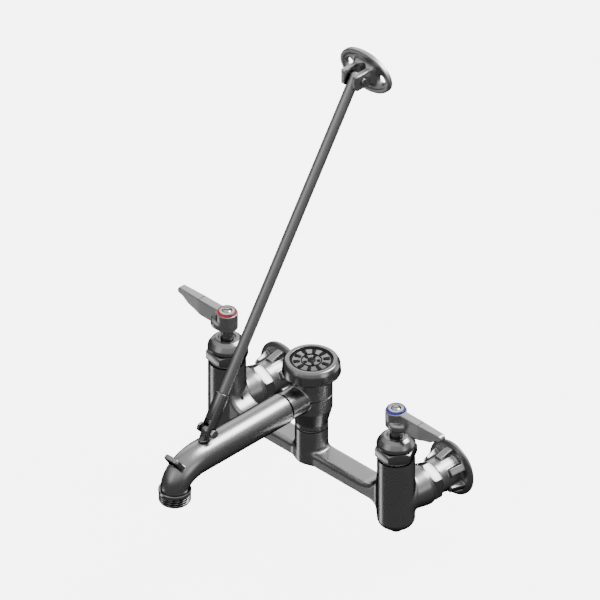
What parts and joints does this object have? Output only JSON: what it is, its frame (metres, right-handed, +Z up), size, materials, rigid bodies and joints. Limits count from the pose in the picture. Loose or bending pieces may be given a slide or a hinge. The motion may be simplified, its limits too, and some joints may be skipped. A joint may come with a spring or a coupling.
{
  "type": "service sink faucet",
  "caption": "Wall-mounted service sink faucet with lever valves, vacuum breaker, rigid spout with pail hook, hose-thread outlet and a wall brace rod.",
  "frame": {"origin": "on the wall plane, midway between the two inlets, at the height of the inlet axes", "axes": "+X towards the cold side, +Y into the wall, +Z up"},
  "size_m": [0.3162, 0.2463, 0.4119],
  "materials": {
    "satin_chrome": "satin chrome plate over cast and turned brass",
    "bright_chrome": "bright chrome plate",
    "brass": "machined brass",
    "black_rubber": "moulded rubber",
    "red_plastic": "glossy red",
    "blue_plastic": "glossy blue"
  },
  "bodies": {
    "frame": {"main_body": "satin_chrome", "vacuum_breaker_body": "satin_chrome", "vb_gasket": "black_rubber", "vb_seat": "brass", "vb_vent_seat": "brass", "vb_cap": "satin_chrome", "vb_cap_insert": "satin_chrome", "spout": "satin_chrome", "outlet_adapter": "satin_chrome", "brace_eye": "satin_chrome", "hot_inlet_flange": "satin_chrome", "hot_union_ring": "brass", "hot_inlet_gasket": "black_rubber", "hot_coupling_nut": "satin_chrome", "hot_bonnet": "satin_chrome", "hot_seat_ring": "brass", "hot_bonnet_gasket": "black_rubber", "hot_stem_packing": "black_rubber", "cold_inlet_flange": "satin_chrome", "cold_union_ring": "brass", "cold_inlet_gasket": "black_rubber", "cold_coupling_nut": "satin_chrome", "cold_bonnet": "satin_chrome", "cold_seat_ring": "brass", "cold_bonnet_gasket": "black_rubber", "cold_stem_packing": "black_rubber"},
    "hot_handle": {"hot_stem": "brass", "hot_lever": "satin_chrome", "hot_index_ring": "red_plastic", "hot_handle_screw": "bright_chrome"},
    "hot_valve_disc": {"hot_disc_holder": "brass", "hot_disc_washer": "black_rubber"},
    "hot_stop_seat": {"hot_stop_washer": "black_rubber"},
    "hot_stop": {"hot_stop_screw": "brass", "hot_stop_seal": "black_rubber"},
    "cold_handle": {"cold_stem": "brass", "cold_lever": "satin_chrome", "cold_index_ring": "blue_plastic", "cold_handle_screw": "bright_chrome"},
    "cold_valve_disc": {"cold_disc_holder": "brass", "cold_disc_washer": "black_rubber"},
    "cold_stop_seat": {"cold_stop_washer": "black_rubber"},
    "cold_stop": {"cold_stop_screw": "brass", "cold_stop_seal": "black_rubber"},
    "vacuum_float": {"vb_float": "brass", "vb_float_washer": "black_rubber"},
    "brace": {"brace_fork": "satin_chrome", "brace_rod": "satin_chrome", "brace_bolt": "bright_chrome", "brace_nut": "bright_chrome"},
    "bracket": {"wall_bracket": "satin_chrome", "bracket_pin": "bright_chrome"}
  },
  "joints": [
    {"name": "hot_lever_turn", "type": "hinge", "parent": "frame", "child": "hot_handle", "pos_m": [-0.1016, -0.0675, 0.085], "axis": [0, 0, 1], "range_deg": [0, 90]},
    {"name": "hot_valve_lift", "type": "slide", "parent": "frame", "child": "hot_valve_disc", "axis": [0, 0, 1], "range_m": [0, 0.0025]},
    {"name": "hot_stop_lift", "type": "slide", "parent": "frame", "child": "hot_stop_seat", "axis": [0, 0, 1], "range_m": [0, 0.0035]},
    {"name": "hot_stop_turn", "type": "hinge", "parent": "hot_stop_seat", "child": "hot_stop", "pos_m": [-0.1016, -0.0675, -0.029], "axis": [0, 0, 1], "range_deg": [0, 1020]},
    {"name": "cold_lever_turn", "type": "hinge", "parent": "frame", "child": "cold_handle", "pos_m": [0.1016, -0.0675, 0.085], "axis": [0, 0, 1], "range_deg": [-90, 0]},
    {"name": "cold_valve_lift", "type": "slide", "parent": "frame", "child": "cold_valve_disc", "axis": [0, 0, 1], "range_m": [0, 0.0025]},
    {"name": "cold_stop_lift", "type": "slide", "parent": "frame", "child": "cold_stop_seat", "axis": [0, 0, 1], "range_m": [0, 0.0035]},
    {"name": "cold_stop_turn", "type": "hinge", "parent": "cold_stop_seat", "child": "cold_stop", "pos_m": [0.1016, -0.0675, -0.029], "axis": [0, 0, 1], "range_deg": [0, 1020]},
    {"name": "vacuum_float_lift", "type": "slide", "parent": "frame", "child": "vacuum_float", "axis": [0, 0, 1], "range_m": [0, 0.004]},
    {"name": "brace_swing", "type": "hinge", "parent": "frame", "child": "brace", "pos_m": [0, -0.1925, 0.083], "axis": [1, 0, 0], "range_deg": [-40, 75]},
    {"name": "bracket_tilt", "type": "hinge", "parent": "brace", "child": "bracket", "pos_m": [0, -0.015, 0.3625], "axis": [1, 0, 0], "range_deg": [-30, 50]}
  ],
  "couplings": [
    {"joint": "hot_lever_turn", "follows": "hot_valve_lift", "rad_per_m": 625},
    {"joint": "hot_stop_turn", "follows": "hot_stop_lift", "rad_per_m": 5026.6},
    {"joint": "cold_lever_turn", "follows": "cold_valve_lift", "rad_per_m": -625},
    {"joint": "cold_stop_turn", "follows": "cold_stop_lift", "rad_per_m": 5026.6}
  ]
}
